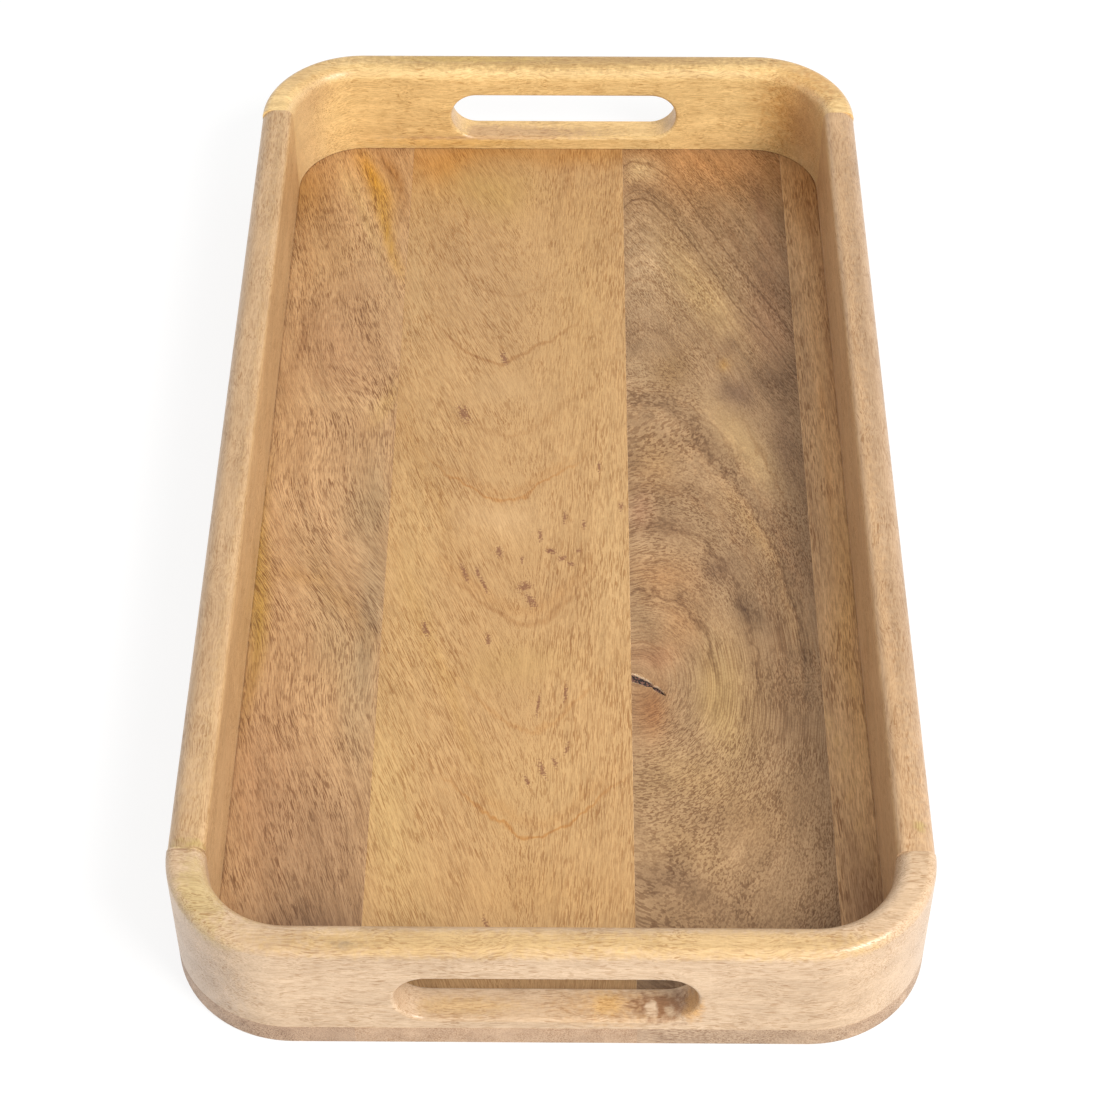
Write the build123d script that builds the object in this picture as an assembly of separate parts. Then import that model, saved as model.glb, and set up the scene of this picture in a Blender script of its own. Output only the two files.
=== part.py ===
"""Solid wood serving tray with a hand slot at each end.

Frame: +Z up, +Y along the tray's length, +X across it. The origin is the centre of the underside.
The tray is a glued assembly. Its base is made of edge-glued boards. Four rails stand on the base,
flush with its edge, and dowels tie the end rails to the side rails. All sizes are in millimetres.
"""

from build123d import *

import os

# Outside sizes
TRAY_LENGTH = 481.0
TRAY_WIDTH = 256.0
TRAY_HEIGHT = 52.0
CORNER_RADIUS = 42.0  # of the outside, seen from above

# Timber thicknesses
RAIL_THICKNESS = 13.2
BASE_THICKNESS = 9.0

# Glue joints between the base boards, as distances along X from the tray's centre line
BASE_JOINTS = (-65.0, 29.0, 99.5)
BOARD_NAMES = (
    "base_board_left",
    "base_board_centre",
    "base_board_right",
    "base_board_edge_strip",
)

# Hand slot through each end rail, cut by hand and so a little off centre
SLOT_LENGTH = 100.0
SLOT_HEIGHT = 22.7
SLOT_SILLS = {"front": 5.0, "rear": 6.2}  # wood between the base and the slot
SLOT_OFFSETS = {"front": -1.2, "rear": 2.4}  # along X

# Routed roundings
RIM_OUTER_RADIUS = 5.8
RIM_INNER_RADIUS = 3.6
SLOT_EDGE_RADIUS = 1.5
BASE_EDGE_RADIUS = 1.0

# Dowels across the butt joints between end rails and side rails
DOWEL_DIAMETER = 6.0
DOWEL_IN_SIDE_RAIL = 15.0
DOWEL_IN_END_RAIL = 9.0  # short, because the corner curves away
DOWEL_CHAMFER = 0.6
DOWEL_EDGE_DISTANCE = 11.0  # from a rail's lower or upper edge to a dowel's axis
HOLE_SIDE_CLEARANCE = 0.05  # between a dowel and the wall of its hole
HOLE_END_CLEARANCE = 0.8  # room for glue at each end of a dowel

# Places that follow from the sizes above
RAIL_HEIGHT = TRAY_HEIGHT - BASE_THICKNESS
LEAST_SILL = min(SLOT_SILLS.values())
GRIP_BAR = RAIL_HEIGHT - max(SLOT_SILLS.values()) - SLOT_HEIGHT  # least wood above a slot
RAIL_JOINT_Y = TRAY_LENGTH / 2 - CORNER_RADIUS  # side rails end where the corners begin to turn
DOWEL_X = TRAY_WIDTH / 2 - RAIL_THICKNESS / 2
DOWEL_HEIGHTS = {
    "lower": BASE_THICKNESS + DOWEL_EDGE_DISTANCE,
    "upper": TRAY_HEIGHT - DOWEL_EDGE_DISTANCE,
}
SIDES = {"left": -1, "right": 1}
ENDS = {"front": -1, "rear": 1}


def limited(radius, wall, share=0.4):
    """The radius, or less where that would be more than its share of a thin wall."""
    return min(radius, share * wall)


def outline(inset=0.0):
    """The tray's outline seen from above, moved inwards by the inset."""
    width = TRAY_WIDTH - 2 * inset
    length = TRAY_LENGTH - 2 * inset
    return RectangleRounded(width, length, CORNER_RADIUS - inset)


def block(x_limits, y_limits, z_limits):
    """A box between two values along each axis, which takes one piece out of a whole."""
    limits = (x_limits, y_limits, z_limits)
    size = [high - low for low, high in limits]
    centre = [(high + low) / 2 for low, high in limits]
    return Pos(*centre) * Box(*size)


def make_boards():
    """The base, with its lower edge rounded, cut along its glue joints from left to right."""
    base = extrude(outline(), amount=BASE_THICKNESS)
    lower_edge = base.edges().group_by(Axis.Z)[0]
    base = fillet(lower_edge, limited(BASE_EDGE_RADIUS, BASE_THICKNESS))
    joints = (-TRAY_WIDTH / 2, *BASE_JOINTS, TRAY_WIDTH / 2)
    along = (-TRAY_LENGTH / 2, TRAY_LENGTH / 2)
    boards = {}
    for name, left, right in zip(BOARD_NAMES, joints[:-1], joints[1:]):
        boards[name] = base & block((left, right), along, (0, BASE_THICKNESS))
    return boards


def slot_cutter(end_name):
    """A bar with round ends, which cuts the hand slot through one end rail."""
    wall_middle = ENDS[end_name] * (TRAY_LENGTH - RAIL_THICKNESS) / 2
    height = BASE_THICKNESS + SLOT_SILLS[end_name] + SLOT_HEIGHT / 2
    bar = extrude(Plane.XZ * SlotOverall(SLOT_LENGTH, SLOT_HEIGHT), RAIL_THICKNESS, both=True)
    return Pos(SLOT_OFFSETS[end_name], wall_middle, height) * bar


def is_across(edge):
    """True for an edge that lies in a plane square to Y, as the mouths of a hand slot do."""
    return edge.bounding_box().size.Y < 0.01


def make_rail_ring():
    """All four rails in one ring, with its rim rounded and its hand slots cut."""
    ring = extrude(outline(), amount=RAIL_HEIGHT)
    ring = Pos(0, 0, BASE_THICKNESS) * ring
    outer_rim = ring.edges().group_by(Axis.Z)[-1]
    ring = fillet(outer_rim, limited(RIM_OUTER_RADIUS, min(RAIL_THICKNESS, GRIP_BAR), 0.55))
    well = extrude(outline(RAIL_THICKNESS), amount=TRAY_HEIGHT)
    ring = ring - well
    inner_rim = ring.faces().sort_by(Axis.Z)[-1].inner_wires()[0].edges()
    ring = fillet(inner_rim, limited(RIM_INNER_RADIUS, min(RAIL_THICKNESS, GRIP_BAR), 0.35))
    for end_name in ENDS:
        cutter = slot_cutter(end_name)
        cut_ring = ring - cutter
        mouths = new_edges(ring, cutter, combined=cut_ring).filter_by(is_across)
        ring = fillet(mouths, limited(SLOT_EDGE_RADIUS, min(GRIP_BAR, LEAST_SILL, RAIL_THICKNESS)))
    return ring


def across_joint(side_name, end_name, height, radius, in_side_rail, in_end_rail):
    """A round bar that reaches a given depth into both rails from the joint between them."""
    end = ENDS[end_name]
    middle_y = end * (RAIL_JOINT_Y + (in_end_rail - in_side_rail) / 2)
    bar = Rot(90, 0, 0) * Cylinder(radius, in_side_rail + in_end_rail)
    return Pos(SIDES[side_name] * DOWEL_X, middle_y, height) * bar


def make_dowels():
    """The dowels, with chamfered ends."""
    dowels = {}
    for end_name in ENDS:
        for side_name in SIDES:
            for level, height in DOWEL_HEIGHTS.items():
                pin = across_joint(
                    side_name,
                    end_name,
                    height,
                    DOWEL_DIAMETER / 2,
                    DOWEL_IN_SIDE_RAIL,
                    DOWEL_IN_END_RAIL,
                )
                end_circles = pin.edges().filter_by(GeomType.CIRCLE)
                name = f"dowel_{end_name}_{side_name}_{level}"
                dowels[name] = chamfer(end_circles, DOWEL_CHAMFER)
    return dowels


def make_dowel_holes():
    """The holes that the dowels sit in, each through the joint into both rails."""
    return [
        across_joint(
            side_name,
            end_name,
            height,
            DOWEL_DIAMETER / 2 + HOLE_SIDE_CLEARANCE,
            DOWEL_IN_SIDE_RAIL + HOLE_END_CLEARANCE,
            DOWEL_IN_END_RAIL + HOLE_END_CLEARANCE,
        )
        for end_name in ENDS
        for side_name in SIDES
        for height in DOWEL_HEIGHTS.values()
    ]


def make_rails():
    """The ring of rails, bored for the dowels and cut at its four joints."""
    ring = make_rail_ring() - make_dowel_holes()
    half_width = TRAY_WIDTH / 2
    half_length = TRAY_LENGTH / 2
    upright = (BASE_THICKNESS, TRAY_HEIGHT)
    rails = {}
    for name, end in ENDS.items():
        reach = sorted((end * RAIL_JOINT_Y, end * half_length))
        rails[f"end_rail_{name}"] = ring & block((-half_width, half_width), reach, upright)
    for name, side in SIDES.items():
        reach = sorted((0, side * half_width))
        between = (-RAIL_JOINT_Y, RAIL_JOINT_Y)
        rails[f"side_rail_{name}"] = ring & block(reach, between, upright)
    return rails


def main():
    os.makedirs("parts", exist_ok=True)
    pieces = {**make_boards(), **make_rails(), **make_dowels()}
    for name, piece in pieces.items():
        export_step(piece, f"parts/{name}.step")
        print(name, round(piece.volume), "mm3")


main()
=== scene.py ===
import math

import bpy
import numpy as np
from mathutils import Matrix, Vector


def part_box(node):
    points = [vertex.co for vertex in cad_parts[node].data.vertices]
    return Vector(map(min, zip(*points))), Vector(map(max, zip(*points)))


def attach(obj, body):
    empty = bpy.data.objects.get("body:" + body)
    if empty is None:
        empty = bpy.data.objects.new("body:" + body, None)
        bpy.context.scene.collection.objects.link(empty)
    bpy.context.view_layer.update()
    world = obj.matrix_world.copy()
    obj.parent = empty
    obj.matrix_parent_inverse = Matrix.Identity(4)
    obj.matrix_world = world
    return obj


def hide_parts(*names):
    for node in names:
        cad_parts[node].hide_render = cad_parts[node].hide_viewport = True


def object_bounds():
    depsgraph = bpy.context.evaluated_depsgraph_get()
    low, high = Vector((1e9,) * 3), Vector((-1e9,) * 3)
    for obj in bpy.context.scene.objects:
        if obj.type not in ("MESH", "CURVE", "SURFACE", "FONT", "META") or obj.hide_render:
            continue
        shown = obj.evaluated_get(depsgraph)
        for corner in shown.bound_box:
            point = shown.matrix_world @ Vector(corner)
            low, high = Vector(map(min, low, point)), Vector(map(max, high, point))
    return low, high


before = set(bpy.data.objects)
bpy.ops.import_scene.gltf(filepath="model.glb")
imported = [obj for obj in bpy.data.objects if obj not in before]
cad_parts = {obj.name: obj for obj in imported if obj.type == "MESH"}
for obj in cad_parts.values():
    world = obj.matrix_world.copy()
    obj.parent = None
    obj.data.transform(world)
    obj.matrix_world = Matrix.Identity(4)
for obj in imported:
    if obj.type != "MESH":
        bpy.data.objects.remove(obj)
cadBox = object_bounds()
print("frame: %d nodes" % len(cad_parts))

# sizes that the frame gives, in metres
trayLow, trayHigh = cadBox
sideLow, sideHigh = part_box("side_rail_right")
stripLow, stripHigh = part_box("base_board_edge_strip")
tray = {
    "halfWidth": trayHigh.x,
    "halfLength": trayHigh.y,
    "rimHeight": trayHigh.z,
    "wall": sideHigh.x - sideLow.x,
    "floorHeight": stripHigh.z,
    "jointY": sideHigh.y,
    "cornerRadius": trayHigh.y - sideHigh.y,
}

# metres, degrees and the lens in millimetres
viewPoint = {
    "place": (0.0048, -0.7418, 0.7716),
    "tiltDown": 46.64,
    "turn": -0.52,
    "roll": -0.09,
    "lens": 88.5,
    "sensorWidth": 36.0,
}

studio = {
    "horizonStrength": 1.3,
    "zenithStrength": 0.45,
    "boxPlace": (1.0, -1.0, 1.35),
    "boxSize": 0.8,
    "boxPower": 38.0,
    "boxColour": (1.0, 0.985, 0.96),
    "paperColour": (0.2, 0.2, 0.2),
    "paperGlow": 0.82,
    "paperRoughness": 0.9,
    "paperShine": 0.1,
    "paperSize": 8.0,
    "paperDrop": 0.0002,
}


def addCamera():
    data = bpy.data.cameras.new("camera")
    data.lens = viewPoint["lens"]
    data.sensor_width = viewPoint["sensorWidth"]
    camera = bpy.data.objects.new("camera", data)
    bpy.context.scene.collection.objects.link(camera)
    turn = Matrix.Rotation(math.radians(-viewPoint["turn"]), 4, "Z")
    tilt = Matrix.Rotation(math.radians(90 - viewPoint["tiltDown"]), 4, "X")
    roll = Matrix.Rotation(math.radians(viewPoint["roll"]), 4, "Z")
    camera.matrix_world = Matrix.Translation(viewPoint["place"]) @ turn @ tilt @ roll
    bpy.context.scene.camera = camera


def addStudio():
    scene = bpy.context.scene
    scene.view_settings.view_transform = "Standard"
    world = bpy.data.worlds.new("softSky")
    world.use_nodes = True
    tree = world.node_tree
    direction = addNode(tree, "ShaderNodeTexCoord").outputs["Generated"]
    height = addNode(tree, "ShaderNodeSeparateXYZ", {0: direction}).outputs[2]
    inputs = {"Value": height, "To Min": studio["horizonStrength"], "To Max": studio["zenithStrength"]}
    strength = addNode(tree, "ShaderNodeMapRange", inputs).outputs[0]
    tree.nodes["Background"].inputs["Color"].default_value = (1, 1, 1, 1)
    tree.links.new(strength, tree.nodes["Background"].inputs["Strength"])
    scene.world = world

    light = bpy.data.lights.new("softBox", "AREA")
    light.size = studio["boxSize"]
    light.energy = studio["boxPower"]
    light.color = studio["boxColour"]
    softBox = bpy.data.objects.new("softBox", light)
    scene.collection.objects.link(softBox)
    softBox.location = studio["boxPlace"]
    softBox.rotation_euler = softBox.location.to_track_quat("Z", "Y").to_euler()

    half, drop = studio["paperSize"] / 2, studio["paperDrop"]
    mesh = bpy.data.meshes.new("paperFloor")
    corners = [(-half, -half), (half, -half), (half, half), (-half, half)]
    mesh.from_pydata([(x, y, -drop) for x, y in corners], [], [(0, 1, 2, 3)])
    paper = bpy.data.objects.new("paperFloor", mesh)
    scene.collection.objects.link(paper)
    material = bpy.data.materials.new("paper")
    material.use_nodes = True
    shader = material.node_tree.nodes["Principled BSDF"]
    shader.inputs["Base Color"].default_value = (*studio["paperColour"], 1)
    shader.inputs["Roughness"].default_value = studio["paperRoughness"]
    shader.inputs["Specular IOR Level"].default_value = studio["paperShine"]
    shader.inputs["Emission Color"].default_value = (1, 1, 1, 1)
    shader.inputs["Emission Strength"].default_value = studio["paperGlow"]
    mesh.materials.append(material)


# small helpers that add one node and give back its output

def addNode(tree, kind, inputs=None, **settings):
    node = tree.nodes.new(kind)
    for name, value in settings.items():
        setattr(node, name, value)
    for key, value in (inputs or {}).items():
        if isinstance(value, bpy.types.NodeSocket):
            tree.links.new(value, node.inputs[key])
        else:
            node.inputs[key].default_value = value
    return node


def calc(tree, operation, *values):
    inputs = dict(enumerate(values))
    return addNode(tree, "ShaderNodeMath", inputs, operation=operation).outputs[0]


def vector(tree, operation, *values):
    inputs = dict(enumerate(values))
    node = addNode(tree, "ShaderNodeVectorMath", inputs, operation=operation)
    return node.outputs["Value" if operation == "LENGTH" else "Vector"]


def combine(tree, x, y, z):
    return addNode(tree, "ShaderNodeCombineXYZ", {"X": x, "Y": y, "Z": z}).outputs[0]


def separate(tree, value):
    return addNode(tree, "ShaderNodeSeparateXYZ", {0: value}).outputs


def smoothStep(tree, value, low, high):
    inputs = {"Value": value, "From Min": low, "From Max": high}
    return addNode(tree, "ShaderNodeMapRange", inputs, interpolation_type="SMOOTHSTEP").outputs[0]


def fade(tree, value, low, high):
    # 1 up to low, 0 from high onwards
    return calc(tree, "SUBTRACT", 1.0, smoothStep(tree, value, low, high))


def mixColour(tree, share, first, second):
    inputs = {0: share, 6: first, 7: second}
    return addNode(tree, "ShaderNodeMix", inputs, data_type="RGBA").outputs[2]


def darken(tree, share, colour, tone):
    # part of the colour is multiplied by the tone
    return mixColour(tree, share, colour, vector(tree, "MULTIPLY", colour, tone))


def mixValue(tree, share, first, second):
    return addNode(tree, "ShaderNodeMix", {0: share, 2: first, 3: second}).outputs[0]


def noise(tree, place, size, detail=2.0, seed=0.0, roughness=0.5):
    # place and size are in millimetres, size is how large a feature is along each axis
    scale = tuple(1 / s for s in size)
    moved = vector(tree, "MULTIPLY_ADD", place, scale, (seed, seed * 1.7, seed * 0.6))
    inputs = {"Vector": moved, "Scale": 1.0, "Detail": detail, "Roughness": roughness}
    return addNode(tree, "ShaderNodeTexNoise", inputs).outputs["Fac"]


def swing(tree, value, amount):
    # turns 0 to 1 into minus to plus half of amount
    return calc(tree, "MULTIPLY_ADD", value, amount, -0.5 * amount)


def attribute(tree, name, output):
    return addNode(tree, "ShaderNodeAttribute", attribute_name=name).outputs[output]


def objectPlace(tree):
    place = addNode(tree, "ShaderNodeTexCoord").outputs["Object"]
    return vector(tree, "MULTIPLY", place, (1000, 1000, 1000))


def spot(centre, radii, tone, strength=1.0, lean=0.0, ragged=0.5, edge=(0.55, 1.0), grit=2.0):
    # a spot of colour for a stain, knot, fleck, painted shade or painted reflection: centre and radii in
    # millimetres, lean in degrees, edge from full to none
    def paint(tree, here, colour):
        offset = vector(tree, "SUBTRACT", here, centre)
        inputs = {"Vector": offset, "Angle": math.radians(lean)}
        turned = addNode(tree, "ShaderNodeVectorRotate", inputs, rotation_type="Z_AXIS").outputs[0]
        reach = vector(tree, "LENGTH", vector(tree, "DIVIDE", turned, radii))
        rough = swing(tree, noise(tree, here, (grit, grit, grit), 3.0, centre[0]), ragged * 2)
        inside = fade(tree, calc(tree, "ADD", reach, rough), *edge)
        return mixColour(tree, calc(tree, "MULTIPLY", inside, strength), colour, (*tone, 1))
    return paint


# how large each unevenness of the wood is in millimetres: across, along and through the grain
woodSizes = {
    "fibre": (0.55, 8, 0.55),
    "streaks": (3.2, 34, 3.2),
    "bands": (9, 90, 9),
    "speckle": (0.7, 1.0, 0.7),
    "crowding": (11, 20, 11),
    "lineWobble": (5, 8, 5),
    "ringWobble": (9, 14, 9),
    "char": (0.7, 0.7, 0.7),
}

# what each finish starts from: sizes across and along the grain in millimetres, strengths from 0 to 1
woodDefaults = {
    "seed": 1.0,
    "pore": (0.5, 6.5),
    "poreCut": (0.58, 0.65),
    "poreStrength": 1.0,
    "hair": (0.36, 5.0),
    "hairCut": (0.51, 0.57),
    "hairStrength": 0.7,
    "poreTone": (0.52, 0.42, 0.33),
    "leastCrowd": 0.5,
    "fibre": 0.6,
    "streaks": 0.35,
    "bands": 0.25,
    "cloud": 0.25,
    "cloudSize": (26, 40, 26),
    "speckle": 0.2,
    "lineWobble": 8.5,
    "ringWobble": 5.0,
    "grainAxis": (0, 1, 0),
    "endTurn": (0.35, 0.95),
    "endShare": 0.5,
    # end-grain colour; the boards' end grain is paler than their tops, with painted sheen in it
    "endColourAndSheen": (0.66, 0.46, 0.30),
    "roughness": 0.4,
    "poreRoughness": 0.15,
    "cloudRoughness": 0.08,
    "relief": 0.35,
    "reliefDepth": 0.00012,  # metres
    "charColours": ((0.015, 0.009, 0.007, 1), (0.2, 0.09, 0.06, 1)),
}


def grainNoise(tree, wood, size, detail, seed, roughness=0.5):
    # noise drawn out along the grain, and blended where a board's grain turns
    first = noise(tree, wood["grain"], size, detail, seed, roughness)
    if "otherGrain" not in wood:
        return first
    other = noise(tree, wood["otherGrain"], size, detail, seed, roughness)
    return mixValue(tree, wood["share"], first, other)


def vessels(tree, wood, finish, kind, detail, shift):
    # open vessels: short thin dashes along the grain, and dots where the grain is cut across
    wide, long = finish[kind]
    found = grainNoise(tree, wood, (wide, long, wide), detail, finish["seed"] + shift)
    return calc(tree, "MULTIPLY", smoothStep(tree, found, *finish[kind + "Cut"]), finish[kind + "Strength"])


def addLines(tree, here, wood, finish, colour):
    # single growth lines
    for place, width, strength, tone in finish.get("lines", ()):
        wobble = swing(tree, noise(tree, here, woodSizes["lineWobble"], 4.0, place), finish["lineWobble"])
        off = calc(tree, "ADD", calc(tree, "SUBTRACT", wood["rings"], place), wobble)
        line = fade(tree, calc(tree, "ABSOLUTE", off), 0.0, width)
        line = calc(tree, "MULTIPLY", calc(tree, "MULTIPLY", line, strength), wood["ringShare"])
        colour = darken(tree, line, colour, tone)
    return colour


def addRings(tree, here, wood, finish, colour):
    # growth rings all over, each a thin line between a paler and a darker side
    uneven = noise(tree, here, woodSizes["ringWobble"], 3.0, finish["seed"])
    rings = calc(tree, "ADD", wood["rings"], swing(tree, uneven, finish["ringWobble"]))
    inputs = {"W": calc(tree, "DIVIDE", rings, finish["ringSpacing"]), "Scale": 1.0, "Detail": 2.0}
    wave = addNode(tree, "ShaderNodeTexNoise", inputs, noise_dimensions="1D").outputs["Fac"]
    off = calc(tree, "ABSOLUTE", calc(tree, "SUBTRACT", wave, 0.5))
    line = calc(tree, "MULTIPLY", fade(tree, off, 0.0, finish["ringWidth"]), wood["ringShare"])
    colour = darken(tree, calc(tree, "MULTIPLY", line, finish["ringStrength"]), colour, finish["ringTone"])
    shade = calc(tree, "MULTIPLY", swing(tree, wave, finish["ringShade"]), wood["ringShare"])
    return vector(tree, "MULTIPLY", colour, combine(tree, *[calc(tree, "ADD", shade, 1.0)] * 3))


def addEndGrainAndSheen(tree, finish, colour):
    # another colour where the surface cuts across the grain; on the boards it is paler, with painted sheen
    # in it
    facing = addNode(tree, "ShaderNodeTexCoord").outputs["Normal"]
    across = vector(tree, "LENGTH", vector(tree, "MULTIPLY", facing, finish["grainAxis"]))
    share = calc(tree, "MULTIPLY", smoothStep(tree, across, *finish["endTurn"]), finish["endShare"])
    return mixColour(tree, share, colour, (*finish["endColourAndSheen"], 1))


def woodMaterial(name, finish, surface):
    # surface gives the wood's coordinates (across, along, through), its growth rings and its base colour
    material = bpy.data.materials.new(name)
    material.use_nodes = True
    tree = material.node_tree
    here = objectPlace(tree)
    wood = surface(tree, here)
    seed = finish["seed"]

    fibre = grainNoise(tree, wood, woodSizes["fibre"], 3.0, seed + 3, 0.6)
    streaks = grainNoise(tree, wood, woodSizes["streaks"], 3.0, seed + 9, 0.6)
    bands = grainNoise(tree, wood, woodSizes["bands"], 2.0, seed + 11)
    cloud = noise(tree, here, finish["cloudSize"], 4.0, seed + 13)
    speckle = noise(tree, here, woodSizes["speckle"], 2.0, seed + 17)
    lift = calc(tree, "ADD", swing(tree, fibre, finish["fibre"]), 1.0)
    for value, amount in ((bands, "bands"), (streaks, "streaks"), (cloud, "cloud"), (speckle, "speckle")):
        lift = calc(tree, "ADD", lift, swing(tree, value, finish[amount]))
    # darker wood is also redder
    warmth = combine(tree, lift, calc(tree, "POWER", lift, 1.15), calc(tree, "POWER", lift, 1.35))
    colour = vector(tree, "MULTIPLY", wood["colour"], warmth)

    colour = addLines(tree, here, wood, finish, colour)
    if "ringSpacing" in finish:
        colour = addRings(tree, here, wood, finish, colour)
    colour = addEndGrainAndSheen(tree, finish, colour)

    pores = vessels(tree, wood, finish, "pore", 1.0, 0)
    hairs = vessels(tree, wood, finish, "hair", 1.5, 7)
    crowd = smoothStep(tree, noise(tree, here, woodSizes["crowding"], 2.0, seed + 5), 0.35, 0.65)
    crowd = calc(tree, "MULTIPLY_ADD", crowd, 1 - finish["leastCrowd"], finish["leastCrowd"])
    dark = calc(tree, "MULTIPLY", calc(tree, "MAXIMUM", pores, hairs), crowd)
    if "clear" in wood:
        dark = calc(tree, "MULTIPLY", dark, wood["clear"])
    colour = darken(tree, dark, colour, finish["poreTone"])
    for paint in finish.get("marks", ()):
        colour = paint(tree, here, colour)
    if "knot" in wood:
        burnt = smoothStep(tree, noise(tree, here, woodSizes["char"], 3.0, 5), 0.45, 0.6)
        char = mixColour(tree, burnt, *finish["charColours"])
        colour = mixColour(tree, smoothStep(tree, wood["knot"], 0.35, 0.75), colour, char)

    roughness = calc(tree, "MULTIPLY_ADD", dark, finish["poreRoughness"], finish["roughness"])
    roughness = calc(tree, "ADD", roughness, swing(tree, cloud, finish["cloudRoughness"]))
    relief = calc(tree, "SUBTRACT", calc(tree, "MULTIPLY", fibre, 0.3), dark)
    inputs = {"Height": relief, "Strength": finish["relief"], "Distance": finish["reliefDepth"]}
    bump = addNode(tree, "ShaderNodeBump", inputs).outputs[0]
    shader = tree.nodes["Principled BSDF"]
    tree.links.new(colour, shader.inputs["Base Color"])
    tree.links.new(roughness, shader.inputs["Roughness"])
    tree.links.new(bump, shader.inputs["Normal"])
    return material


# painted shade on the floor along the foot of the rails: a thin dark line in the crease, with a wider
# painted shadow beside it
footShade = {
    "thin": (0.25, 1.0),
    "thinShare": 0.75,
    "wide": (0.0, 6.0),
    "wideShare": 0.22,
    "patchSize": (6, 6, 6),
    "leastShare": 0.25,
    "moreShare": 0.8,
    "tone": (0.34, 0.26, 0.2),
}


# paints the shade into the floor's colour, darkest at the foot of the rails
def paintFootShade(tree, here, colour):
    x, y, z = separate(tree, here)
    radius = (tray["cornerRadius"] - tray["wall"]) * 1000
    reach = []
    for value, half in ((x, tray["halfWidth"]), (y, tray["halfLength"])):
        straight = (half - tray["wall"]) * 1000 - radius
        past = calc(tree, "SUBTRACT", calc(tree, "ABSOLUTE", value), straight)
        reach.append(calc(tree, "MAXIMUM", past, 0.0))
    away = calc(tree, "SUBTRACT", radius, vector(tree, "LENGTH", combine(tree, *reach, 0.0)))
    thin = calc(tree, "MULTIPLY", fade(tree, away, *footShade["thin"]), footShade["thinShare"])
    wide = calc(tree, "MULTIPLY", fade(tree, away, *footShade["wide"]), footShade["wideShare"])
    patchy = noise(tree, here, footShade["patchSize"], 3.0, 4.0)
    uneven = calc(tree, "MULTIPLY_ADD", patchy, footShade["moreShare"], footShade["leastShare"])
    share = calc(tree, "MULTIPLY", calc(tree, "MAXIMUM", thin, wide), uneven)
    return darken(tree, share, colour, footShade["tone"])


def makePiece(name, mesh, node, material):
    piece = bpy.data.objects.new(name, mesh)
    bpy.context.scene.collection.objects.link(piece)
    mesh.materials.clear()
    mesh.materials.append(material)
    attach(piece, "root")
    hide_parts(node)
    return piece


# base boards: each is a grid, so that its grain can be bent and its colour painted point by point

# millimetres and degrees
boardEdge = {
    "footRounding": 1.0,
    "footSteps": 5,
    "arris": 0.1,
    "columnStep": 2.4,
    "rowStep": 2.4,
    "fineStep": 0.35,
    "leastGap": 0.3,
    "touch": 0.01,
    "arcSteps": 22,
    "sharpAngle": 35,
    "sideShare": 0.8,
}
fleckLook = {"tone": (0.20, 0.075, 0.032), "strength": 0.8, "ragged": 1.5, "edge": (0.2, 1.0), "grit": 0.8}


def wander(x, y, seed, size, amount):
    # smooth unevenness, the same each time
    chance = np.random.default_rng(seed)
    total = np.zeros_like(x)
    waves = 7
    for _ in range(waves):
        angle, phase = chance.uniform(0, 2 * math.pi, 2)
        length = size * chance.uniform(0.6, 2.0)
        along = x * math.cos(angle) + 0.45 * y * math.sin(angle)
        total += np.sin(along * 2 * math.pi / length + phase)
    return amount * total / (waves / 2)


def bell(x, y, centre, radii, lean=0.0):
    # 1 at the centre, falling off smoothly
    angle = math.radians(lean)
    dx, dy = x - centre[0], y - centre[1]
    across = dx * math.cos(angle) + dy * math.sin(angle)
    along = -dx * math.sin(angle) + dy * math.cos(angle)
    return np.exp(-(across / radii[0]) ** 2 - (along / radii[1]) ** 2)


def ramp(value, low, high):
    t = np.clip((value - low) / (high - low), 0, 1)
    return t * t * (3 - 2 * t)


floorTop = tray["floorHeight"] * 1000

# Each figure gives where a point lies across, along and through the grain, and which growth ring it is in.
# Where a board's grain runs two ways, share goes from the first to the other. All in millimetres.


def leftFigure(x, y, z):
    # the grain leans left going away, bends back halfway, and bows round a spot further on
    bend = 9 * np.tanh((y + 35) / 26) * ramp(y, -110, -60) * (1 - ramp(y, 10, 60))
    lean = x + 0.27 * y + bend
    u = lean + 7 * bell(x, y, (-92, 92), (15, 38)) + wander(x, y, 3, 60, 2.2)
    rings = lean + 26 * bell(x, y, (-93, 95), (13, 34), 12) + wander(x, y, 4, 50, 3)
    return {"grain": (u, y, z), "rings": rings + 0.8 * (z - floorTop), "ringShare": np.full_like(x, 0.8)}


def centreFigure(x, y, z):
    # growth lines in nested arches that point to the near end
    leaning = x + 0.36 * y + wander(x, y, 7, 60, 2.0)
    upright = x - 0.05 * y + wander(x, y, 8, 70, 1.6)
    share = ramp(x + wander(x, y, 9, 60, 8), -34, 4)
    off = x + 14 + 8 * np.tanh((y + 40) / 60)
    rings = y - 1.25 * (np.hypot(off, 12) - 12) + wander(x, y, 10, 30, 2.5) + 1.5 * (z - floorTop)
    ringShare = 1 - ramp(np.abs(off), 14, 42)
    clear = np.ones_like(x)
    for tipX, tipY in ((-20, 72), (-21, -4), (-12, -84)):
        clear -= 0.6 * bell(x, y, (tipX, tipY), (15, 8))
    return {"grain": (leaning, y, z), "otherGrain": (upright, y, z), "share": share,
            "rings": rings, "ringShare": ringShare, "clear": np.clip(clear, 0, 1)}


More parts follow.
